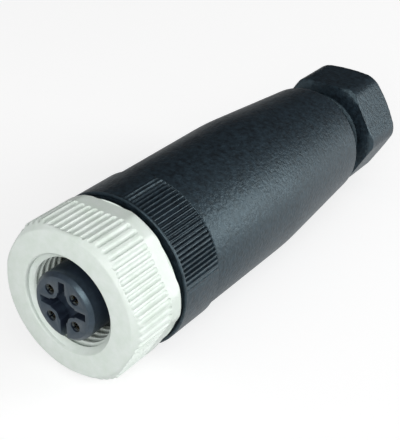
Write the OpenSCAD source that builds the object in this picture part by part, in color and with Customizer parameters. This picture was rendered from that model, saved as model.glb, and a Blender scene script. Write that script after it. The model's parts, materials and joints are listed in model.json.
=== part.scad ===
// Field-wireable M12 cable connector, four-way female, with a screw coupling
// nut, a ribbed grip collar, a screwed shell and a compression cable gland.
// The plug axis lies along Y. The mating face looks towards -Y and +Z is up.
// Zero is the centre of the coupling nut's front face.

/* [Coupling nut] */
// Diameter over the nut's rounded corners
nut_d = 20; // [19.5:0.1:24]
// Size across the nut's six flats
nut_flats = 18.6; // [17.4:0.1:19]
// Length of the nut
nut_length = 8; // [6.6:0.1:10]
// Outside diameter of the flat ring on the nut's front face
nut_face_d = 18.1; // [15.2:0.1:18.4]
// Nominal diameter of the coupling thread
thread_d = 12; // [10:0.1:13]
// Pitch of the coupling thread
thread_pitch = 1; // [0.75:0.25:1.25]
// Thickness of the web at the nut's rear that the retaining ring holds
nut_web = 1.7; // [1.4:0.1:2.2]
// Number of grip ribs round the nut
nut_ribs = 64; // [40:2:80]
// Width of the round grooves between the nut's ribs
nut_groove_w = 0.62; // [0.4:0.02:0.7]
// Depth of the grooves between the nut's ribs
nut_groove_depth = 0.3; // [0.1:0.05:0.35]
// Plain band behind the nut's ribs
nut_band = 1.9; // [1:0.1:3]

/* [Contact carrier] */
// Room between the carrier's nose and the nut's thread, for the plug's sleeve
sleeve_room = 1.16; // [0.95:0.01:1.4]
// How far the nose stands out of the nut's front face
nose_out = 0.7; // [0:0.1:1.5]
// Distance from the nose's outside to the centre line of a contact
contact_rim = 1.8; // [1.5:0.05:2.2]
// Depth of the cross-shaped recess in the mating face
cross_depth = 1.5; // [0.5:0.1:2.5]
// Width of the cross recess's arms and of the coding keyway
key_w = 0.9; // [0.6:0.05:1.1]
// Wall outside the terminal blocks
carrier_skin = 0.8; // [0.6:0.05:1.2]

/* [Contacts and terminals] */
// Diameter of the mating pins that the sockets take
pin_d = 1; // [0.8:0.05:1.1]
// Wall of a socket's tube
socket_wall = 0.28; // [0.2:0.01:0.35]
// How far the sockets stand back from the mating face
socket_recess = 0.4; // [0.2:0.05:1]
// Width of a terminal block
block_w = 2.8; // [2.4:0.05:3.2]
// Radial height of a terminal block
block_h = 3.2; // [3:0.05:3.8]
// Length of a terminal block
block_len = 5; // [4.2:0.1:6.5]
// Diameter of the terminal screws
terminal_screw_d = 1.9; // [1.6:0.05:2.2]
// Travel of a terminal screw and its clamp plate
clamp_travel = 1.2; // [0.8:0.05:1.25]

/* [Grip collar] */
// Length of the collar's ribbed ring
collar_length = 7; // [5.9:0.1:9]
// How far the collar stands proud of the shell
collar_step = 0.25; // [0.05:0.05:0.6]
// Ribs that would fill the collar's whole turn
collar_rib_pitch = 108; // [80:1:120]
// Grooves in each of the collar's two ribbed zones
collar_grooves = 26; // [10:1:34]
// Depth of the collar's grooves
collar_groove_depth = 0.28; // [0.1:0.02:0.35]
// Length of the threaded spigot that the shell screws on to
spigot_length = 5; // [4.2:0.1:7]
// Wall of the spigot at the root of its thread
spigot_wall = 1.15; // [0.95:0.05:1.5]
// Depth of the thread between the spigot and the shell
housing_thread = 0.55; // [0.4:0.05:0.7]

/* [Shell] */
// Length of the shell
shell_length = 36.65; // [33:0.05:44]
// Length of the shell's cylindrical front
shell_straight = 18.7; // [15:0.1:20]
// Wall of the shell at the root of its front thread
shell_wall = 1.7; // [1.5:0.05:2.2]
// Wall of the shell's rear end round the gland thread
shell_end_wall = 1.95; // [1.3:0.05:2.4]
// Wall round the wiring space
cavity_wall = 2.35; // [1.9:0.05:2.8]

/* [Cable gland] */
// Nominal diameter of the gland thread
gland_d = 12.5; // [11.6:0.1:15]
// Depth of the gland thread
gland_thread = 0.6; // [0.4:0.05:0.7]
// Length of the pressing screw's threaded shank
shank_length = 8.5; // [7.2:0.1:10]
// Gap between the shell and the pressing screw's hexagon
gland_open = 4.5; // [3.5:0.1:6]
// Size across the flats of the pressing screw's hexagon
hex_flats = 15; // [13.2:0.1:17]
// Length of the hexagon
hex_length = 7.8; // [6.6:0.1:10]
// Wall of the pressing screw's shank round the cable hole
shank_wall = 2.05; // [1.9:0.05:2.3]
// Wall of the rubber seal round its cable hole
seal_wall = 1; // [0.7:0.05:1.5]
// Length of the rubber seal
seal_length = 5.3; // [4.4:0.1:5.8]
// Slots between the clamping cage's fingers
cage_slots = 6; // [4:1:8]

/* [Fits] */
// Radial clearance of parts that are pressed or pushed together
push_fit = 0.05; // [0.02:0.01:0.1]
// Radial clearance of parts that slide or turn
slide_fit = 0.1; // [0.05:0.01:0.15]
// Axial float of the coupling nut on each side
nut_float = 0.25; // [0.1:0.05:0.4]

/* [Hidden] */
$fn = 96;

eps = 0.01;
far = 100;

// Coupling nut, from the mating thread outwards
thread_minor_r = (thread_d - 1.0825 * thread_pitch) / 2;
mouth_r = (thread_d + 0.7) / 2;
web_z = nut_length - nut_web;

// Nose of the carrier, and what sits on it inside the nut
nose_r = thread_minor_r - sleeve_room;
nose_z = -nose_out;
rim_bevel = 0.45;
ring_thick = 0.8;
ring_groove = 0.4;
ring_r = thread_minor_r - 0.2;
ring_z = web_z - nut_float - ring_thick;
o_ring = 1;
seal_groove = 0.15;
seal_z = ring_z - o_ring;

// Contacts, placed round the axis, and the terminal blocks behind them
contact_r = nose_r - contact_rim;
socket_r = pin_d / 2 + socket_wall;
socket_z = nose_z + socket_recess;
boss_r = socket_r + 0.35;
web_between = 0.8;
block_in = block_w / 2 + web_between;
block_out = block_in + block_h;
block_wall = 0.75;
chamber_w = block_w - 2 * 0.55;
plate_thick = 0.25;

// Collar and carrier
collar_z = nut_length + nut_float + 0.05;
collar_end = collar_z + collar_length;
collar_front = 1.5;
carrier_r = block_out + carrier_skin;
spigot_in = carrier_r + push_fit;
spigot_r = spigot_in + spigot_wall;
spigot_end = collar_end + spigot_length;
tab_thick = 0.8;
block_z = spigot_end + 0.5 + tab_thick;
block_end = block_z + block_len;
screw_z = block_z + block_wall + (block_len - block_wall) / 2;
screw_head_r = block_out + clamp_travel + 0.15;

// Shell, from its front thread outwards
shell_z = collar_end + 0.05;
shell_end = shell_z + shell_length;
housing_r = spigot_r + housing_thread;
shell_r = housing_r + shell_wall;
collar_r = shell_r + collar_step;
cavity_r = shell_r - cavity_wall;
cavity_z = shell_z + spigot_length + 1.2;
taper_z = shell_z + shell_straight;
seal_recess_r = spigot_r + o_ring + slide_fit;

// Gland, from the shell's rear end forwards
tight_gap = 0.5;
gland_travel = gland_open - tight_gap;
gland_z = shell_end - shank_length;
gland_root_r = gland_d / 2 + push_fit;
shank_r = gland_d / 2 - gland_thread;
shank_z = shell_end + gland_open - shank_length;
hex_z = shell_end + gland_open;
screw_end = hex_z + hex_length;
cage_socket = 2;
cage_r = shank_r - 0.75;
cable_way_r = shank_r - shank_wall;
shell_end_r = gland_root_r + shell_end_wall;
cage_wall = 0.75;
cage_z_rear = shank_z + cage_socket;
seat_z = gland_z - seal_length + 0.3;
cage_z = seat_z + gland_travel + 0.2;
seat_bore_r = cage_r + 0.5;
seal_r = cage_r - cage_wall - 0.15;
seal_hole_r = seal_r - seal_wall;
neck_r = seal_hole_r + 0.4;
neck_z = seat_z - 2;
cavity_end = neck_z - 3;

// Every module is drawn along local Z and laid down along Y.
// Local +Y is the side of the coding keyway and comes to lie at -Z.
module laid_down() { rotate([-90, 0, 0]) children(); }

// Places something at one of the four contact angles, local X radial
module at_contact(k) { rotate([0, 0, 45 + 90 * k]) children(); }

module hex_prism(flats, z, h) {
    translate([0, 0, z]) cylinder(d = flats / cos(30), h = h, $fn = 6);
}

module tube(r_out, r_in, z, h) {
    difference() {
        translate([0, 0, z]) cylinder(r = r_out, h = h);
        translate([0, 0, z - 1]) cylinder(r = r_in, h = h + 2);
    }
}

module o_ring_at(r_in, z) {
    rotate_extrude() translate([r_in + o_ring / 2, z + o_ring / 2]) circle(d = o_ring - 0.02);
}

// ---- Coupling nut ----

module nut_outline() {
    edge = (nut_d - nut_face_d) / 2;
    intersection() {
        rotate_extrude() polygon([[0, 0], [nut_face_d / 2, 0], [nut_d / 2, edge],
            [nut_d / 2, nut_length - 0.3], [nut_d / 2 - 0.3, nut_length], [0, nut_length]]);
        hex_prism(nut_flats, -1, nut_length + 2);
    }
}

// Distance of the nut's outside from its axis at an angle
function nut_radius(a) = min(nut_d / 2, nut_flats / 2 / cos(a % 60 - 30));

module nut_grooves() {
    pitch = 360 / nut_ribs;
    start = 0.45;
    // A groove is an arc that has the stated width and depth at the surface
    groove_r = (nut_groove_w ^ 2 / 4 + nut_groove_depth ^ 2) / 2 / nut_groove_depth;
    for (i = [0 : nut_ribs - 1]) rotate([0, 0, (i + 0.5) * pitch])
        translate([nut_radius((i + 0.5) * pitch) + groove_r - nut_groove_depth, 0, start])
            cylinder(r = groove_r, h = nut_length - nut_band - start, $fn = 24);
}

module coupling_nut() {
    color("Gainsboro") laid_down() difference() {
        nut_outline();
        nut_grooves();
        rotate_extrude() polygon([[0, -1], [mouth_r + 1, -1], [mouth_r, 0],
            [thread_minor_r, mouth_r - thread_minor_r], [thread_minor_r, web_z],
            [nose_r + 0.3, web_z], [nose_r + 0.3, nut_length + 1], [0, nut_length + 1]]);
    }
}

// ---- Contact carrier ----

module cross_recess() {
    arm = nose_r - 1;
    difference() {
        union() {
            translate([-arm, -key_w / 2, nose_z - 1]) cube([2 * arm, key_w, cross_depth + 1]);
            translate([-key_w / 2, -arm, nose_z - 1]) cube([key_w, 2 * arm, cross_depth + 1]);
            translate([0, 0, nose_z - 1]) cylinder(r = contact_r - boss_r + 0.5, h = cross_depth + 1);
        }
        for (k = [0 : 3]) at_contact(k)
            translate([contact_r, 0, nose_z - 2]) cylinder(r = boss_r, h = cross_depth + 4);
    }
    // The coding keyway runs back along the nose to the seal
    translate([-key_w / 2, nose_r - 1.05, nose_z - 1])
        cube([key_w, 2, seal_z - 0.3 - nose_z + 1]);
}

module carrier_pocket() {
    // Socket bore, stepped at the mating face, and the terminal block's slot
    translate([contact_r, 0, nose_z - 1]) cylinder(r = pin_d / 2 + 0.15, h = socket_recess + 1 + eps);
    translate([contact_r, 0, socket_z]) cylinder(r = socket_r + push_fit, h = block_z - socket_z);
    translate([contact_r, -socket_r - push_fit, block_z - tab_thick - push_fit])
        cube([block_out - contact_r + push_fit, 2 * (socket_r + push_fit), far]);
    translate([block_in - push_fit, -block_w / 2 - push_fit, block_z - push_fit])
        cube([block_h + 2 * push_fit, block_w + 2 * push_fit, far]);
    translate([block_out, 0, screw_z]) rotate([0, 90, 0])
        cylinder(d = terminal_screw_d + 0.6, h = 5);
}

module contact_carrier() {
    color("DimGray") laid_down() difference() {
        rotate_extrude() polygon([[0, nose_z], [nose_r - rim_bevel, nose_z],
            [nose_r, nose_z + rim_bevel], [nose_r, seal_z - push_fit],
            [nose_r - seal_groove, seal_z - push_fit],
            [nose_r - seal_groove, ring_z - push_fit],
            [nose_r - ring_groove, ring_z - push_fit],
            [nose_r - ring_groove, ring_z + ring_thick + push_fit],
            [nose_r, ring_z + ring_thick + push_fit], [nose_r, collar_z + collar_front],
            [carrier_r, collar_z + collar_front], [carrier_r, block_end - 0.4],
            [carrier_r - 0.4, block_end], [0, block_end]]);
        cross_recess();
        for (k = [0 : 3]) at_contact(k) carrier_pocket();
    }
}

module retaining_ring() {
    // Snap ring with an open gap, held in the nose's groove
    color("Goldenrod") laid_down() difference() {
        tube(ring_r, nose_r - ring_groove + push_fit, ring_z, ring_thick);
        translate([-0.9, 0, ring_z - 1]) cube([1.8, ring_r + 1, ring_thick + 2]);
    }
}

module front_seal() {
    color("SeaGreen") laid_down() o_ring_at(nose_r - seal_groove, seal_z);
}

// ---- Grip collar ----

module collar_groove_set(zone) {
    pitch = 360 / collar_rib_pitch;
    groove_w = 0.5 * 2 * PI * collar_r / collar_rib_pitch;
    // The grooves run out towards both ends of their zone
    for (i = [0 : collar_grooves - 1])
        rotate([0, 0, zone + (i - (collar_grooves - 1) / 2) * pitch])
            translate([collar_r - collar_groove_depth * min(1, (i + 1) / 4, (collar_grooves - i) / 4),
                    -groove_w / 2, collar_z + 0.45])
                cube([2, groove_w, collar_length - 0.95]);
}

module grip_collar() {
    color("DarkSlateGray") laid_down() difference() {
        rotate_extrude() polygon([[nose_r + push_fit, collar_z], [collar_r - 0.3, collar_z],
            [collar_r, collar_z + 0.3], [collar_r, collar_end - 0.3],
            [collar_r - 0.3, collar_end], [spigot_r, collar_end],
            [spigot_r, spigot_end - 0.4], [spigot_r - 0.4, spigot_end],
            [spigot_in, spigot_end], [spigot_in, collar_z + collar_front],
            [nose_r + push_fit, collar_z + collar_front]]);
        collar_groove_set(-45);
        collar_groove_set(135);
    }
}

// ---- Contacts and their clamps ----

module socket_contact(k) {
    bore_depth = 6.5;
    slot_w = 0.2;
    color("Gold") laid_down() at_contact(k) difference() {
        union() {
            translate([contact_r, 0, socket_z]) cylinder(r = socket_r, h = block_z - socket_z);
            translate([contact_r, -socket_r, block_z - tab_thick])
                cube([block_out - contact_r, 2 * socket_r, tab_thick]);
            translate([block_in, -block_w / 2, block_z]) cube([block_h, block_w, block_len]);
        }
        // Pin bore with four sprung tines
        translate([contact_r, 0, socket_z - 1]) cylinder(r = pin_d / 2 + 0.01, h = bore_depth + 1);
        for (a = [0, 90]) translate([contact_r, 0, socket_z - 1]) rotate([0, 0, a])
            translate([-2, -slot_w / 2, 0]) cube([4, slot_w, bore_depth - 0.5]);
        // Wire chamber, open to the rear, with the clamp screw's hole above it
        translate([block_in + block_wall, -chamber_w / 2, block_z + block_wall])
            cube([block_h - 2 * block_wall, chamber_w, far]);
        translate([block_in + block_wall + 0.5, 0, screw_z]) rotate([0, 90, 0])
            cylinder(r = terminal_screw_d / 2 + push_fit, h = far);
    }
}

module clamp_plate(k) {
    top = block_out - block_wall - 0.03;
    color("Silver") laid_down() at_contact(k)
        translate([top - plate_thick, -chamber_w / 2 + slide_fit, block_z + block_wall + slide_fit])
            cube([plate_thick, chamber_w - 2 * slide_fit, block_len - block_wall - 2 * slide_fit]);
}

module terminal_screw(k) {
    tip = block_out - block_wall - 0.01;
    slot_w = 0.4;
    color("LightSteelBlue") laid_down() at_contact(k) difference() {
        translate([tip, 0, screw_z]) rotate([0, 90, 0])
            cylinder(d = terminal_screw_d, h = screw_head_r - tip);
        translate([screw_head_r - 0.5, -2, screw_z - slot_w / 2]) cube([1, 4, slot_w]);
    }
}

// ---- Shell ----

module housing_seal() {
    color("SeaGreen") laid_down() o_ring_at(spigot_r + 0.02, shell_z + 0.02);
}

module shell() {
    lip = 0.6;
    color("SlateGray") laid_down() rotate_extrude() polygon(concat(
        [[seal_recess_r, shell_z], [shell_r - 0.2, shell_z], [shell_r, shell_z + 0.2],
            [shell_r, taper_z]],
        // The rear edge is rounded
        [for (a = [0 : 15 : 90]) [shell_end_r - lip + lip * cos(a), shell_end - lip + lip * sin(a)]],
        [[gland_root_r + 0.4, shell_end], [gland_root_r, shell_end - 0.4],
            [gland_root_r, gland_z], [seat_bore_r, gland_z], [seat_bore_r, seat_z],
            [neck_r, seat_z], [neck_r, neck_z], [cavity_r, cavity_end], [cavity_r, cavity_z],
            [housing_r, cavity_z - 0.4], [housing_r, shell_z + o_ring + slide_fit],
            [seal_recess_r, shell_z + o_ring + slide_fit]]));
}

// ---- Cable gland ----

module cable_seal() {
    color("DarkOliveGreen") laid_down() rotate_extrude() polygon([
        [seal_hole_r, seat_z + push_fit], [seal_r, seat_z + push_fit],
        [seal_r, seat_z + seal_length - 0.5], [seal_r - 0.3, seat_z + seal_length],
        [seal_hole_r + 0.3, seat_z + seal_length], [seal_hole_r, seat_z + seal_length - 0.4]]);
}

module clamp_cage() {
    lip_z = cage_z_rear - 1;
    inside = cage_r - cage_wall;
    color("WhiteSmoke") laid_down() difference() {
        rotate_extrude() polygon([[inside, cage_z], [cage_r - 0.3, cage_z],
            [cage_r, cage_z + 0.8], [cage_r, cage_z_rear - 0.1], [cable_way_r - 0.1, cage_z_rear - 0.1],
            [cable_way_r - 0.1, lip_z], [inside, lip_z]]);
        for (i = [0 : cage_slots - 1]) rotate([0, 0, i * 360 / cage_slots])
            translate([0, -0.5, cage_z - 1]) cube([far, 1, lip_z - 1.5 - cage_z + 1]);
    }
}

module pressing_screw() {
    corner_r = hex_flats / 2 / cos(30);
    rear_r = hex_flats / 2 - 0.7;
    edge = (corner_r - rear_r) * tan(25);
    color("DarkSlateGray") laid_down() difference() {
        union() {
            translate([0, 0, shank_z]) cylinder(r = shank_r, h = hex_z - shank_z + 1);
            intersection() {
                hex_prism(hex_flats, hex_z, hex_length);
                rotate_extrude() polygon([[0, hex_z], [corner_r - 0.35, hex_z],
                    [corner_r + 0.05, hex_z + 0.25], [corner_r + 0.05, screw_end - edge],
                    [rear_r, screw_end], [0, screw_end]]);
            }
        }
        translate([0, 0, shank_z - 1]) cylinder(r = cable_way_r, h = far);
        translate([0, 0, shank_z - 1]) cylinder(r = cage_r + slide_fit, h = cage_socket + 1);
        rotate_extrude() polygon([[0, screw_end - 1], [cable_way_r, screw_end - 1],
            [cable_way_r + 1, screw_end], [cable_way_r + 2, screw_end + 1], [0, screw_end + 1]]);
    }
}

coupling_nut();
contact_carrier();
retaining_ring();
front_seal();
grip_collar();
socket_contact(0);  // socket_contact_1
socket_contact(1);  // socket_contact_2
socket_contact(2);  // socket_contact_3
socket_contact(3);  // socket_contact_4
clamp_plate(0);  // clamp_plate_1
clamp_plate(1);  // clamp_plate_2
clamp_plate(2);  // clamp_plate_3
clamp_plate(3);  // clamp_plate_4
terminal_screw(0);  // terminal_screw_1
terminal_screw(1);  // terminal_screw_2
terminal_screw(2);  // terminal_screw_3
terminal_screw(3);  // terminal_screw_4
housing_seal();
shell();
cable_seal();
clamp_cage();
pressing_screw();
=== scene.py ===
"""The looks of a field-wireable M12 cable connector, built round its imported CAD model.

The plug axis is Y, with the mating face towards -Y, and angles round it run from +Z towards +X.
Profiles are written in millimetres from the centre of the coupling nut's front face.
"""

import json
import math

import bmesh
import bpy
import numpy as np
from mathutils import Matrix, Vector


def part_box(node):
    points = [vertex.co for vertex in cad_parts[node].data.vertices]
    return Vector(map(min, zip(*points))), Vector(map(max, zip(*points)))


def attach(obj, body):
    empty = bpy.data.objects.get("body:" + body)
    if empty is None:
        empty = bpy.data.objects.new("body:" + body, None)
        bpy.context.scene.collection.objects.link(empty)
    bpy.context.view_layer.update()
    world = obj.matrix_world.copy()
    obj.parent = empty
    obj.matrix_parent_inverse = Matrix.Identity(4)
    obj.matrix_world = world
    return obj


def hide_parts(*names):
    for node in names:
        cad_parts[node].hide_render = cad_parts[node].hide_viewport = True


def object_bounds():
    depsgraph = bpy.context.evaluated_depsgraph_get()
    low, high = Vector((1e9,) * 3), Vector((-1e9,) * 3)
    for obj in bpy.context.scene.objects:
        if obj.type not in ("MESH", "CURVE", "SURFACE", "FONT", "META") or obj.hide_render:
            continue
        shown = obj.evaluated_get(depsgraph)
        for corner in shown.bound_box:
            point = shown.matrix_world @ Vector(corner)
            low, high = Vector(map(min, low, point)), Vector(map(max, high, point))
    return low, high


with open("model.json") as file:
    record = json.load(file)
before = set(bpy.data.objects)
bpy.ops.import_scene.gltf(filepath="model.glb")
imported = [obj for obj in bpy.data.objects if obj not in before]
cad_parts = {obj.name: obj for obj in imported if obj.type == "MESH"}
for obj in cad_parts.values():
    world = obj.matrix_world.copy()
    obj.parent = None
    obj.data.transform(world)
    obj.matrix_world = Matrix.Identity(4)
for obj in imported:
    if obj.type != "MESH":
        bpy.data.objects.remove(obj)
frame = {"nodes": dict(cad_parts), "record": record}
cad_low, cad_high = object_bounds()
nodes = frame["nodes"]

MM = 0.001


def mm(value):
    """A length of the frame, in millimetres."""
    return round(value / MM, 4)


# ---- Sizes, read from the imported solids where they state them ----

_, nut_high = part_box("coupling_nut")
collar_low, collar_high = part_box("grip_collar")
shell_low, shell_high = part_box("shell")
screw_low, screw_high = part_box("pressing_screw")
_, carrier_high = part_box("contact_carrier")

THREAD_D = 12.0
THREAD_PITCH = 1.0
# A metric thread's inside diameter is smaller by this many pitches
THREAD_DEPTH = 1.0825
GLAND_PITCH = 1.27
PUSH_FIT = 0.05

NUT_R = mm(nut_high.x)
NUT_FLAT = mm(nut_high.z)
NUT_LENGTH = mm(nut_high.y)
NUT_FACE_R = 9.05
NUT_RIBS = 64
GROOVE_W = 0.7
GROOVE_DEPTH = 0.3
GROOVE_START = 0.45
NUT_BAND = 1.9
NUT_REAR_CHAMFER = 0.3
NUT_BORE_CLEARANCE = 0.3
WEB_THICK = 1.7
WEB_FRONT = NUT_LENGTH - WEB_THICK
MOUTH_WIDENING = 0.7
MOUTH_R = (THREAD_D + MOUTH_WIDENING) / 2
MINOR_R = (THREAD_D - THREAD_DEPTH * THREAD_PITCH) / 2
NUT_THREAD_ROOT_R = THREAD_D / 2 + 0.2
# Share of a pitch by which inside threads lead, so that they interleave with outside ones
INSIDE_LEAD = 0.5

CARRIER_R = mm(carrier_high.x)
NOSE_CLEARANCE = 1.16
NOSE_R = MINOR_R - NOSE_CLEARANCE

COLLAR_R = mm(collar_high.x)
COLLAR_FRONT = mm(collar_low.y)
COLLAR_LENGTH = 7.0
COLLAR_END = COLLAR_FRONT + COLLAR_LENGTH
# Pitches of the ribs in a full turn, and grooves in each of the two zones
COLLAR_PITCHES = 108
COLLAR_GROOVES = 26
COLLAR_GROOVE_DEPTH = 0.42
STEPS_PER_RIB = 8
RIB_RISE = 0.14
FRONT_CHAMFER = 0.1
REAR_CHAMFER = 0.16
COLLAR_LIP = 0.45
COLLAR_NECK = COLLAR_FRONT + COLLAR_LIP
SPIGOT_END = mm(collar_high.y)
SPIGOT_WALL = 1.15
SPIGOT_IN = CARRIER_R + PUSH_FIT
SPIGOT_R = SPIGOT_IN + SPIGOT_WALL

SHELL_R = mm(shell_high.x)
SHELL_FRONT = mm(shell_low.y)
SHELL_END = mm(shell_high.y)
SHELL_STRAIGHT = 18.7
SHELL_TAPER = SHELL_FRONT + SHELL_STRAIGHT
SHELL_END_R = 8.25
SHELL_END_LIP = 0.6
SHELL_CHAMBER_WALL = 2.35
HOUSING_THREAD = 0.55
HOUSING_THREAD_LENGTH = 5.8
SEAL_RECESS_R = SPIGOT_R + 1.1
SEAL_RECESS_DEPTH = 1.1
GLAND_DEPTH = 8.5
SEAT_R = 5.4
SEAT_DEPTH = 5.0
NECK_R = 3.4
NECK_LENGTH = 2.0

HEX_FLAT = mm(screw_high.z)
HEX_LENGTH = 7.8
SCREW_FRONT = mm(screw_low.y)
SCREW_END = mm(screw_high.y)
HEX_FRONT = SCREW_END - HEX_LENGTH
SHANK_R = 5.65
GLAND_ROOT_R = 6.3
CAGE_SOCKET_R = 5.0
CAGE_SOCKET_DEPTH = 2.0
CABLE_WAY_R = 3.6
# Radius at the hexagon's rounded corners and at its rear face, and the length of that chamfer
HEX_CORNER_R = HEX_FLAT * 1.105
HEX_REAR_R = HEX_FLAT - 0.7
HEX_REAR_EDGE = 0.95

# Width over which two faces of a moulding run into each other
EDGE_BLEND = 0.1
CORNER_BLEND = 0.12
HEX_CORNER_BLEND = 0.2


# ---- Mesh helpers ----

# Points of a ring closer than this, in metres, are one point
SAME_PLACE = 0.0005 * MM


def soft_min(a, b, blend):
    """The smaller of two values, rounded where they cross."""
    mix = np.clip(0.5 + 0.5 * (b - a) / blend, 0.0, 1.0)
    return b * (1 - mix) + a * mix - blend * mix * (1 - mix)


def ring_mesh(name, angles, rows, material, body, replaced=(), sharp=35.0):
    """A closed solid of rows that run round the axis.

    A row is (radius, height), each a number or an array with one value per angle. The last
    row joins the first, so the rows run round the section of the piece. A Thread among the
    rows is a run of rows that climb by one pitch in a turn.
    """
    flat, climbs = [], []
    for row in rows:
        if isinstance(row, Thread):
            climbs.append((len(flat), len(flat) + len(row.rows), row.step))
            flat += row.rows
        else:
            flat.append(row)
    count = len(angles)
    radius = np.array([np.broadcast_to(np.asarray(r, float), count) for r, _ in flat])
    height = np.array([np.broadcast_to(np.asarray(y, float), count) for _, y in flat])
    points = np.stack([radius * np.sin(angles), height, radius * np.cos(angles)], axis=-1) * MM
    index = np.arange(len(flat) * count).reshape(len(flat), count)
    across = np.roll(index, -1, axis=1)
    for start, end, step in climbs:
        # Where the last angle meets the first, each row goes on as the row one pitch further
        across[start:end, -1] = index[np.clip(np.arange(start, end) + step, start, end - 1), 0]
    faces = np.stack([index, across, np.roll(across, -1, axis=0), np.roll(index, -1, axis=0)], axis=-1)
    mesh = bpy.data.meshes.new(name)
    mesh.from_pydata(points.reshape(-1, 3).tolist(), [], faces.reshape(-1, 4).tolist())
    return finished_piece(name, mesh, material, body, replaced, sharp)


def finished_piece(name, mesh, material, body, replaced, sharp):
    """Cleans a mesh, smooths it except at its sharp edges, and hangs it on its body."""
    tidy = bmesh.new()
    tidy.from_mesh(mesh)
    bmesh.ops.remove_doubles(tidy, verts=tidy.verts, dist=SAME_PLACE)
    bmesh.ops.dissolve_degenerate(tidy, edges=tidy.edges, dist=SAME_PLACE)
    bmesh.ops.recalc_face_normals(tidy, faces=tidy.faces)
    tidy.to_mesh(mesh)
    tidy.free()
    mesh.polygons.foreach_set("use_smooth", [True] * len(mesh.polygons))
    mesh.set_sharp_from_angle(angle=math.radians(sharp))
    mesh.materials.clear()
    mesh.materials.append(material)
    piece = bpy.data.objects.new(name, mesh)
    bpy.context.scene.collection.objects.link(piece)
    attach(piece, body)
    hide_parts(*replaced)
    return piece


def arc(center, radius, start, end, steps):
    """Points of an arc in the section, as (radius, height), angles in degrees from outwards."""
    turns = [math.radians(a) for a in np.linspace(start, end, steps)]
    return [(center[0] + radius * math.cos(a), center[1] + radius * math.sin(a)) for a in turns]


class Thread:
    """Rows of a right-handed thread between two heights. They follow its helix.

    root is the radius at the bottom of the groove and crest the one at the ridge's top. limit
    is a function of the height that gives the radius of a countersink or an end chamfer. lead
    moves the thread along the axis, as a share of the pitch.
    """

    # Share of the pitch at which a row lies, and how far it is towards the crest
    PROFILE = ((0.0, 0.0), (0.3, 0.0), (0.47, 0.92), (0.51, 1.0), (0.75, 1.0), (0.79, 0.92), (0.96, 0.0))

    def __init__(self, angles, low, high, pitch, root, crest, limit=None, lead=0.0, backwards=False):
        shift = pitch * (angles / (2 * math.pi) - lead)
        shares = [share for share, _ in self.PROFILE] + [1.0]
        rises = [rise for _, rise in self.PROFILE] + [0.0]
        cut = np.maximum if crest < root else np.minimum
        self.rows = []
        for turn in range(math.floor(low / pitch) - 1, math.ceil(high / pitch + lead) + 1):
            for share in shares[:-1]:
                y = np.clip(pitch * (turn + share) + shift, low, high)
                r = root + (crest - root) * np.interp((y - shift) / pitch % 1.0, shares, rises)
                self.rows.append((r if limit is None else cut(r, limit(y)), y))
        self.step = len(self.PROFILE)
        if backwards:
            self.rows.reverse()
            self.step = -self.step


# ---- Materials ----

def new_material(name):
    """A material, its node tree and its shader."""
    material = bpy.data.materials.new(name)
    material.use_nodes = True
    tree = material.node_tree
    shader = tree.nodes["Principled BSDF"]
    return material, tree, shader


def linear(*rgb):
    """An sRGB colour written 0 to 255, as the linear colour a shader takes."""
    out = []
    for c in rgb:
        c = c / 255
        out.append(c / 12.92 if c <= 0.04045 else ((c + 0.055) / 1.055) ** 2.4)
    return (*out, 1.0)


def moulded(name, low, high, roughness, grain, relief, tint=(1, 1, 1, 1), specular=0.5):
    """Moulded plastic: two tones in patches, with the grain of the tool as relief and in the gloss.

    grain is the width of a patch and relief the height of the grain, in millimetres.
    """
    material, tree, shader = new_material(name)
    make, link = tree.nodes.new, tree.links.new
    place = make("ShaderNodeTexCoord")
    patches = make("ShaderNodeTexNoise")
    patches.inputs["Scale"].default_value = 0.6 / (grain * MM)
    patches.inputs["Detail"].default_value = 4
    patches.inputs["Roughness"].default_value = 0.65
    tone = make("ShaderNodeValToRGB")
    tone.color_ramp.elements[0].color = low
    tone.color_ramp.elements[0].position = 0.34
    tone.color_ramp.elements[1].color = high
    tone.color_ramp.elements[1].position = 0.66
    fine = make("ShaderNodeTexNoise")
    fine.inputs["Scale"].default_value = 1 / (grain * MM)
    fine.inputs["Detail"].default_value = 3
    gloss = make("ShaderNodeMapRange")
    gloss.inputs["To Min"].default_value = roughness - 0.1
    gloss.inputs["To Max"].default_value = roughness + 0.1
    bump = make("ShaderNodeBump")
    bump.inputs["Strength"].default_value = 1
    bump.inputs["Distance"].default_value = relief * MM
    link(place.outputs["Object"], patches.inputs["Vector"])
    link(place.outputs["Object"], fine.inputs["Vector"])
    link(patches.outputs["Fac"], tone.inputs["Fac"])
    link(tone.outputs["Color"], shader.inputs["Base Color"])
    link(fine.outputs["Fac"], gloss.inputs["Value"])
    link(gloss.outputs["Result"], shader.inputs["Roughness"])
    link(fine.outputs["Fac"], bump.inputs["Height"])
    link(bump.outputs["Normal"], shader.inputs["Normal"])
    shader.inputs["Specular IOR Level"].default_value = specular
    shader.inputs["Specular Tint"].default_value = tint
    return material


METAL_GRAIN = 2500


def metal(name, colour, roughness):
    """Turned or plated metal with a faint uneven polish."""
    material, tree, shader = new_material(name)
    make, link = tree.nodes.new, tree.links.new
    place = make("ShaderNodeTexCoord")
    fine = make("ShaderNodeTexNoise")
    fine.inputs["Scale"].default_value = METAL_GRAIN
    gloss = make("ShaderNodeMapRange")
    gloss.inputs["To Min"].default_value = roughness * 0.7
    gloss.inputs["To Max"].default_value = roughness * 1.3
    link(place.outputs["Object"], fine.inputs["Vector"])
    link(fine.outputs["Fac"], gloss.inputs["Value"])
    link(gloss.outputs["Result"], shader.inputs["Roughness"])
    shader.inputs["Base Color"].default_value = colour
    shader.inputs["Metallic"].default_value = 1.0
    return material


# The tint of the dark mouldings' highlights
COOL = (0.66, 0.9, 1.0, 1)

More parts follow.
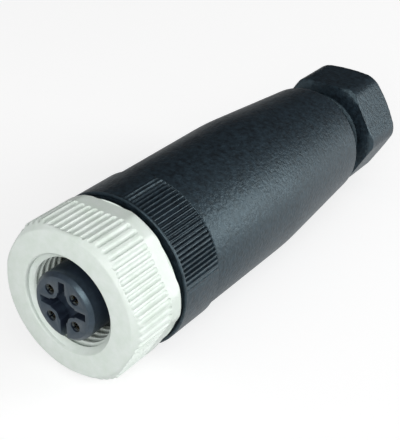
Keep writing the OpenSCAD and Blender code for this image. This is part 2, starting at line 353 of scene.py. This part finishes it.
nut_plastic = moulded("nut_plastic", linear(214, 225, 216), linear(225, 233, 228),
                      roughness=0.4, grain=1.2, relief=0.012)
housing_plastic = moulded("housing_plastic", linear(6, 9, 17), linear(31, 43, 52),
                          roughness=0.46, grain=0.42, relief=0.085, tint=COOL, specular=0.7)
carrier_plastic = moulded("carrier_plastic", linear(22, 27, 38), linear(34, 41, 54),
                          roughness=0.34, grain=0.35, relief=0.012, tint=COOL, specular=0.75)
rubber = moulded("rubber", linear(22, 30, 28), linear(30, 38, 36),
                 roughness=0.6, grain=0.5, relief=0.01)
cage_plastic = moulded("cage_plastic", linear(196, 200, 196), linear(206, 210, 206),
                       roughness=0.5, grain=0.6, relief=0.008)
contact_metal = metal("contact_metal", linear(238, 232, 216), roughness=0.2)
screw_metal = metal("screw_metal", linear(190, 192, 196), roughness=0.3)
ring_metal = metal("ring_metal", linear(206, 176, 104), roughness=0.28)

# The material of each slot in the record
FINISHES = {
    "nut": nut_plastic, "carrier": carrier_plastic, "housing": housing_plastic, "brass": ring_metal,
    "contact": contact_metal, "steel": screw_metal, "seal": rubber, "cage": cage_plastic,
}


# ---- Coupling nut ----

def hex_radius(angles, flat):
    """Distance from the axis to a hexagon that has a flat at the angle 0."""
    turn = (angles + math.pi / 6) % (math.pi / 3) - math.pi / 6
    return flat / np.cos(turn)


def rib_angles(count, radius, steps):
    """Angles round the axis, dense at the edges of each groove. A groove is centred half a
    pitch from the angle 0, and the steps are given in millimetres from its centre."""
    pitch = 2 * math.pi / count
    steps = np.array([-s for s in reversed(steps)] + [0.0] + steps) / radius
    steps = steps[(steps > -pitch / 2) & (steps < pitch / 2)]
    offsets = np.append(steps, pitch / 2)
    return np.concatenate([(i + 0.5) * pitch + offsets for i in range(count)])


def nut_heights(groove_end):
    """Heights of the rows over the nut's front edge, its ribs, their round ends and its band."""
    half = GROOVE_W / 2
    front = [0.06, 0.14, 0.25, 0.36, 0.44, 0.48, 0.52, 0.58, 0.7, 0.85, 1.0, 1.2]
    ribs = [1.8, 3.0, 4.2, 5.2]
    ends = [groove_end - half + half * s for s in (0, 0.35, 0.6, 0.8, 0.92, 1.0, 1.1)]
    band = [NUT_LENGTH - h for h in (1.4, 0.7, 0.4, 0.25, 0.12, 0.04)]
    return front + ribs + ends + band


def coupling_nut():
    """The ribbed nut with its six flats, the web behind the thread and the thread itself."""
    pitch = 2 * math.pi / NUT_RIBS
    half = GROOVE_W / 2
    angles = rib_angles(NUT_RIBS, NUT_R, [0.12, 0.22, 0.29, 0.33, 0.36, 0.4])
    outline = soft_min(np.full_like(angles, NUT_R), hex_radius(angles, NUT_FLAT), CORNER_BLEND)
    offset = ((angles / pitch) % 1.0 - 0.5) * pitch * NUT_R
    groove_end = NUT_LENGTH - NUT_BAND

    def outside(y):
        front = np.full_like(angles, NUT_FACE_R + y)
        rear = np.full_like(angles, NUT_R - NUT_REAR_CHAMFER + NUT_LENGTH - y)
        body = soft_min(soft_min(outline, front, EDGE_BLEND), rear, EDGE_BLEND)
        # A groove is a capsule with a round rear end and a shorter front one
        past = max(0.0, y - (groove_end - half), (GROOVE_START + 0.12 - y) * 2.6)
        reach = np.clip(1 - (np.hypot(offset, past) / half) ** 2, 0, None)
        cut = outline - GROOVE_DEPTH * reach ** 0.75
        return np.where(reach > 0, np.minimum(body, cut), body)

    bore = NOSE_R + NUT_BORE_CLEARANCE
    rows = [(MOUTH_R + 0.02, 0.0), (MOUTH_R + 0.08, 0.0), (NUT_FACE_R - 0.06, 0.0)]
    rows += [(outside(y), y) for y in nut_heights(groove_end)]
    rows += [(NUT_R - 0.55, NUT_LENGTH), (bore + 0.1, NUT_LENGTH), (bore, NUT_LENGTH - 0.1),
             (bore, WEB_FRONT), (MINOR_R - 0.1, WEB_FRONT)]
    rows.append(Thread(angles, 0.02, WEB_FRONT, THREAD_PITCH, NUT_THREAD_ROOT_R, MINOR_R,
                       lambda y: MOUTH_R - y, lead=INSIDE_LEAD, backwards=True))
    return ring_mesh("nut_body", angles, rows, nut_plastic, "nut", ["coupling_nut"], 40)


# ---- Grip collar ----

def rib_depth(angles):
    """Share of the full depth of the collar's grooves at each angle. They fill two zones, which
    face 45 and 225 degrees, and fade at the ends of a zone."""
    pitch = 2 * math.pi / COLLAR_PITCHES
    depth = np.zeros_like(angles)
    for zone in (math.pi / 4, math.pi * 5 / 4):
        place = ((angles - zone + math.pi) % (2 * math.pi) - math.pi) / pitch
        near = np.clip((COLLAR_GROOVES / 2 - np.abs(place)) / 4, 0, 1)
        wave = np.cos(2 * math.pi * (place - 0.5))
        depth += near * np.clip(0.62 + 0.75 * wave, 0, 1)
    return depth


def grip_collar():
    """The collar with its two ribbed zones, its front lip and the spigot that carries the shell."""
    count = COLLAR_PITCHES * STEPS_PER_RIB
    angles = np.arange(count) * 2 * math.pi / count
    depth = COLLAR_GROOVE_DEPTH * rib_depth(angles)
    ribs_start = COLLAR_NECK + 0.26

    def outside(y):
        run_out = min(1.0, max(0.0, (y - ribs_start) / RIB_RISE))
        chamfer = max(0.0, FRONT_CHAMFER - (y - COLLAR_NECK), REAR_CHAMFER - (COLLAR_END - y))
        return COLLAR_R - np.maximum(depth * run_out, chamfer)

    heights = [COLLAR_NECK + h for h in (0.0, 0.04, 0.1, 0.18)]
    heights += [ribs_start + h for h in (0.0, 0.05, 0.1, RIB_RISE, 1.2, 2.6, 4.0)]
    heights += [COLLAR_END - h for h in (0.5, REAR_CHAMFER, 0.06, 0.0)]
    front = COLLAR_FRONT + 1.5
    rows = [(NOSE_R + PUSH_FIT, front), (NOSE_R + PUSH_FIT, COLLAR_FRONT), (COLLAR_R - 2.0, COLLAR_FRONT),
            (COLLAR_R - 1.9, COLLAR_FRONT + 0.1)]
    # The undercut behind the front lip, which shows as the dark line next to the nut
    rows += [(COLLAR_R - 1.9, ribs_start - 0.02), (COLLAR_R - 0.65, ribs_start - 0.02),
             (COLLAR_R - 0.5, ribs_start - 0.12), (COLLAR_R - 0.3, COLLAR_NECK)]
    rows += [(outside(y), y) for y in heights]
    rows += [(COLLAR_R - 0.6, COLLAR_END), (SPIGOT_R + 0.05, COLLAR_END)]
    rows.append(Thread(angles, COLLAR_END + 0.9, SPIGOT_END - 0.1, THREAD_PITCH, SPIGOT_R,
                       SPIGOT_R + HOUSING_THREAD - 0.07, lambda y: SPIGOT_R + (SPIGOT_END - 0.1 - y)))
    rows += [(SPIGOT_R - 0.3, SPIGOT_END), (SPIGOT_IN, SPIGOT_END), (SPIGOT_IN, front)]
    return ring_mesh("collar_body", angles, rows, housing_plastic, "head", ["grip_collar"], 32)


# ---- Shell ----

def shell_outside():
    """The shell's outline: straight, then a soft bend into the taper, then a round rear edge."""
    rows = [(SEAL_RECESS_R, SHELL_FRONT), (SHELL_R - 0.2, SHELL_FRONT)]
    rows += arc((SHELL_R - 0.2, SHELL_FRONT + 0.2), 0.2, -60, 0, 3)
    rows += [(SHELL_R, SHELL_TAPER - 6), (SHELL_R, SHELL_TAPER - 2.0)]
    slope = (SHELL_R - SHELL_END_R) / (SHELL_END - SHELL_END_LIP - SHELL_TAPER)
    rows += [(SHELL_R - slope * (t + 2.0) ** 2 / 8, SHELL_TAPER + t) for t in (-1.0, 0.0, 1.0)]
    rows += [(SHELL_R - slope * t, SHELL_TAPER + t) for t in (2.0, 6.0, 11.0, 16.0)]
    rows += arc((SHELL_END_R - SHELL_END_LIP, SHELL_END - SHELL_END_LIP), SHELL_END_LIP, 0, 90, 7)
    return rows


def shell():
    """The sleeve, with the gland's thread, the seal's seat, the chamber and the collar's thread."""
    angles = np.linspace(0, 2 * math.pi, 192, endpoint=False)
    root = SPIGOT_R + HOUSING_THREAD
    gland = SHELL_END - GLAND_DEPTH
    seat = gland - SEAT_DEPTH
    neck = seat - NECK_LENGTH
    chamber_r = SHELL_R - SHELL_CHAMBER_WALL
    thread_end = SHELL_FRONT + HOUSING_THREAD_LENGTH
    recess_end = SHELL_FRONT + SEAL_RECESS_DEPTH
    rows = shell_outside()
    rows += [(GLAND_ROOT_R + 0.4, SHELL_END), (GLAND_ROOT_R, SHELL_END - 0.4)]
    rows.append(Thread(angles, gland, SHELL_END - 0.5, GLAND_PITCH, GLAND_ROOT_R, SHANK_R + 0.08,
                       lead=INSIDE_LEAD, backwards=True))
    rows += [(SEAT_R, gland), (SEAT_R, seat), (NECK_R, seat), (NECK_R, neck)]
    rows += [(chamber_r, neck - 3.0), (chamber_r, thread_end + 0.4), (root, thread_end)]
    rows.append(Thread(angles, recess_end + 0.1, thread_end - 0.1, THREAD_PITCH, root,
                       SPIGOT_R + 0.07, lead=INSIDE_LEAD, backwards=True))
    rows += [(root, recess_end), (SEAL_RECESS_R, recess_end)]
    return ring_mesh("shell_body", angles, rows, housing_plastic, "shell", ["shell"], 35)


# ---- Pressing screw ----

def hexagon_angles():
    """Angles round the axis, in radians, dense at the hexagon's six corners."""
    corner = [-9, -7.5, -6, -4, -2, 0, 2, 4, 6, 7.5, 9]
    between = [14, 20, 26, 30, 34, 40, 46]
    return np.radians(np.concatenate([np.array(corner + between) + 30 + 60 * k for k in range(6)]))


def pressing_screw():
    """The threaded shank and the hexagon, whose corners are rounded and both ends chamfered."""
    angles = hexagon_angles()
    outline = soft_min(hex_radius(angles, HEX_FLAT), np.full_like(angles, HEX_CORNER_R), HEX_CORNER_BLEND)
    rear_slope = HEX_CORNER_R - HEX_REAR_R

    def outside(y):
        rear = np.full_like(angles, HEX_REAR_R + (SCREW_END - y) * rear_slope / HEX_REAR_EDGE)
        front = np.full_like(angles, HEX_FLAT + 0.2 + (y - HEX_FRONT) * 1.7)
        return soft_min(soft_min(outline, rear, CORNER_BLEND), front, EDGE_BLEND)

    heights = [0.02, 0.1, 0.22, 0.36, 0.5, 0.62, 0.8, 1.6, 4.0, 6.2]
    heights += [HEX_LENGTH - HEX_REAR_EDGE * s for s in (1.1, 0.9, 0.75, 0.6, 0.45, 0.33, 0.22, 0.1)]
    socket_end = SCREW_FRONT + CAGE_SOCKET_DEPTH
    rows = [(CAGE_SOCKET_R, SCREW_FRONT), (SHANK_R - 0.3, SCREW_FRONT)]
    rows.append(Thread(angles, SCREW_FRONT + 0.05, HEX_FRONT - 0.9, GLAND_PITCH, SHANK_R,
                       GLAND_ROOT_R - 0.1, lambda y: SHANK_R - 0.25 + (y - SCREW_FRONT) * 0.9))
    rows += [(SHANK_R, HEX_FRONT - 0.5), (SHANK_R, HEX_FRONT), (HEX_FLAT - 0.5, HEX_FRONT)]
    rows += [(outside(HEX_FRONT + h), HEX_FRONT + h) for h in heights]
    rows += [(HEX_REAR_R - 0.1, SCREW_END), (CABLE_WAY_R + 1.0, SCREW_END),
             (CABLE_WAY_R + 0.45, SCREW_END - 0.4), (CABLE_WAY_R + 0.1, SCREW_END - 0.8),
             (CABLE_WAY_R, SCREW_END - 1.1), (CABLE_WAY_R, socket_end), (CAGE_SOCKET_R, socket_end)]
    return ring_mesh("pressing_screw_body", angles, rows, housing_plastic, "gland_screw",
                     ["pressing_screw"], 35)


# ---- Contact carrier ----

# Edges are broken where they are sharper than this, within this distance of the nut's face
BREAK_ANGLE = math.radians(38)
BREAK_DEPTH = 1.2 * MM
BREAK_WIDTH = 0.09 * MM


def contact_carrier():
    """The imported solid, with the edges of its plug side broken as a moulding's are."""
    node = nodes["contact_carrier"]
    mesh = bpy.data.meshes.new("carrier_body")
    work = bmesh.new()
    work.from_mesh(node.data)
    work.transform(node.matrix_world)
    bmesh.ops.remove_doubles(work, verts=work.verts, dist=0.001 * MM)
    bmesh.ops.dissolve_limit(work, angle_limit=math.radians(1), verts=work.verts, edges=work.edges)
    edges = [e for e in work.edges if len(e.link_faces) == 2 and e.is_convex
             and e.calc_face_angle() > BREAK_ANGLE and max(v.co.y for v in e.verts) < BREAK_DEPTH]
    bmesh.ops.bevel(work, geom=edges, offset=BREAK_WIDTH, segments=2, profile=0.5, affect="EDGES",
                    clamp_overlap=True)
    work.to_mesh(mesh)
    work.free()
    return finished_piece("carrier_body", mesh, carrier_plastic, "head", ["contact_carrier"], 50)


def finish_packed_nodes():
    """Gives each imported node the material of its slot."""
    for entry in frame["record"]["subparts"]:
        node = nodes[entry["node"]]
        node.data.materials.clear()
        node.data.materials.append(FINISHES[entry["material_slot"]])


# ---- Floor, light and camera ----

# The floor and the lamps are set out in metres
FLOOR_REACH = 1.2
FLOOR_TONE = (0.46, 0.46, 0.46, 1)
# Light that the floor adds for the camera and for reflections
FLOOR_GLOW = 0.66

ROOM_LIGHT = 0.95
ROOM_DARK = 0.05
LIGHT_SIDE = (0.55, -0.7, -0.2)
# How far towards the light side the room is at its darkest and at its lightest
ROOM_FADE = (-0.7, 0.8)
MIDDLE = Vector((0, 0.03, 0))

# Fitted to the photo. The place, the lens and the sensor's width are in millimetres
CAMERA_PLACE = Vector((64.40, -66.27, 64.88))
CAMERA_FORWARD = Vector((-0.4964, 0.7048, -0.5068))
CAMERA_UP = Vector((-0.3085, 0.4025, 0.8619))
LENS = 82.9
SENSOR = 36


def floor():
    """A plain pale floor under the object, which keeps its shadow."""
    mesh = bpy.data.meshes.new("floor")
    z = cad_low.z
    corners = [(x * FLOOR_REACH, y * FLOOR_REACH, z) for x, y in ((-1, -1), (1, -1), (1, 1), (-1, 1))]
    mesh.from_pydata(corners, [], [(0, 1, 2, 3)])
    plane = bpy.data.objects.new("floor", mesh)
    bpy.context.scene.collection.objects.link(plane)
    material, tree, shader = new_material("floor_white")
    shader.inputs["Base Color"].default_value = FLOOR_TONE
    shader.inputs["Roughness"].default_value = 0.9
    shader.inputs["Specular IOR Level"].default_value = 0.1
    make, link = tree.nodes.new, tree.links.new
    rays = make("ShaderNodeLightPath")
    seen = make("ShaderNodeMath")
    seen.operation = "MAXIMUM"
    glow = make("ShaderNodeEmission")
    glow.inputs["Strength"].default_value = FLOOR_GLOW
    shine = make("ShaderNodeMixShader")
    both = make("ShaderNodeAddShader")
    dark = make("ShaderNodeEmission")
    dark.inputs["Strength"].default_value = 0
    link(rays.outputs["Is Camera Ray"], seen.inputs[0])
    link(rays.outputs["Is Glossy Ray"], seen.inputs[1])
    link(seen.outputs["Value"], shine.inputs["Fac"])
    link(dark.outputs["Emission"], shine.inputs[1])
    link(glow.outputs["Emission"], shine.inputs[2])
    link(shader.outputs["BSDF"], both.inputs[0])
    link(shine.outputs["Shader"], both.inputs[1])
    link(both.outputs["Shader"], tree.nodes["Material Output"].inputs["Surface"])
    mesh.materials.append(material)


def softbox(name, direction, distance, size, power):
    """A white square area lamp that looks at the middle of the object."""
    light = bpy.data.lights.new(name, "AREA")
    light.size = size
    light.energy = power
    lamp = bpy.data.objects.new(name, light)
    bpy.context.scene.collection.objects.link(lamp)
    way = Vector(direction).normalized()
    lamp.location = MIDDLE + way * distance
    lamp.rotation_euler = way.to_track_quat("Z", "Y").to_euler()


def surroundings():
    """A pale room that is lighter in front and darker behind. The camera sees plain white."""
    world = bpy.data.worlds.new("room")
    bpy.context.scene.world = world
    world.use_nodes = True
    tree = world.node_tree
    make, link = tree.nodes.new, tree.links.new
    place = make("ShaderNodeTexCoord")
    toward = make("ShaderNodeVectorMath")
    toward.operation = "DOT_PRODUCT"
    toward.inputs[1].default_value = LIGHT_SIDE
    level = make("ShaderNodeMapRange")
    level.inputs["From Min"].default_value, level.inputs["From Max"].default_value = ROOM_FADE
    level.inputs["To Min"].default_value = ROOM_DARK
    level.inputs["To Max"].default_value = ROOM_LIGHT
    rays = make("ShaderNodeLightPath")
    room = tree.nodes["Background"]
    room.inputs["Color"].default_value = (1, 1, 1, 1)
    white = make("ShaderNodeBackground")
    white.inputs["Strength"].default_value = 1
    white.inputs["Color"].default_value = (1, 1, 1, 1)
    mix = make("ShaderNodeMixShader")
    link(place.outputs["Generated"], toward.inputs[0])
    link(toward.outputs["Value"], level.inputs["Value"])
    link(level.outputs["Result"], room.inputs["Strength"])
    link(rays.outputs["Is Camera Ray"], mix.inputs["Fac"])
    link(room.outputs["Background"], mix.inputs[1])
    link(white.outputs["Background"], mix.inputs[2])
    link(mix.outputs["Shader"], tree.nodes["World Output"].inputs["Surface"])


def camera():
    """A camera that sees the object as the photo does."""
    data = bpy.data.cameras.new("camera")
    data.sensor_width = SENSOR
    data.lens = LENS
    data.clip_start = 0.005
    data.clip_end = 10
    view = bpy.data.objects.new("camera", data)
    bpy.context.scene.collection.objects.link(view)
    forward = CAMERA_FORWARD.normalized()
    right = forward.cross(CAMERA_UP).normalized()
    up = right.cross(forward)
    turn = Matrix((right, up, -forward)).transposed()
    view.matrix_world = Matrix.Translation(CAMERA_PLACE * MM) @ turn.to_4x4()
    bpy.context.scene.camera = view


contact_carrier()
coupling_nut()
grip_collar()
shell()
pressing_screw()
finish_packed_nodes()
floor()
surroundings()
softbox("side_light", (0.80, 0.52, 0.26), distance=0.35, size=0.18, power=0.66)
softbox("front_light", (0.38, -0.84, 0.38), distance=0.4, size=0.18, power=0.66)
camera()
bpy.context.scene.view_settings.view_transform = "Standard"
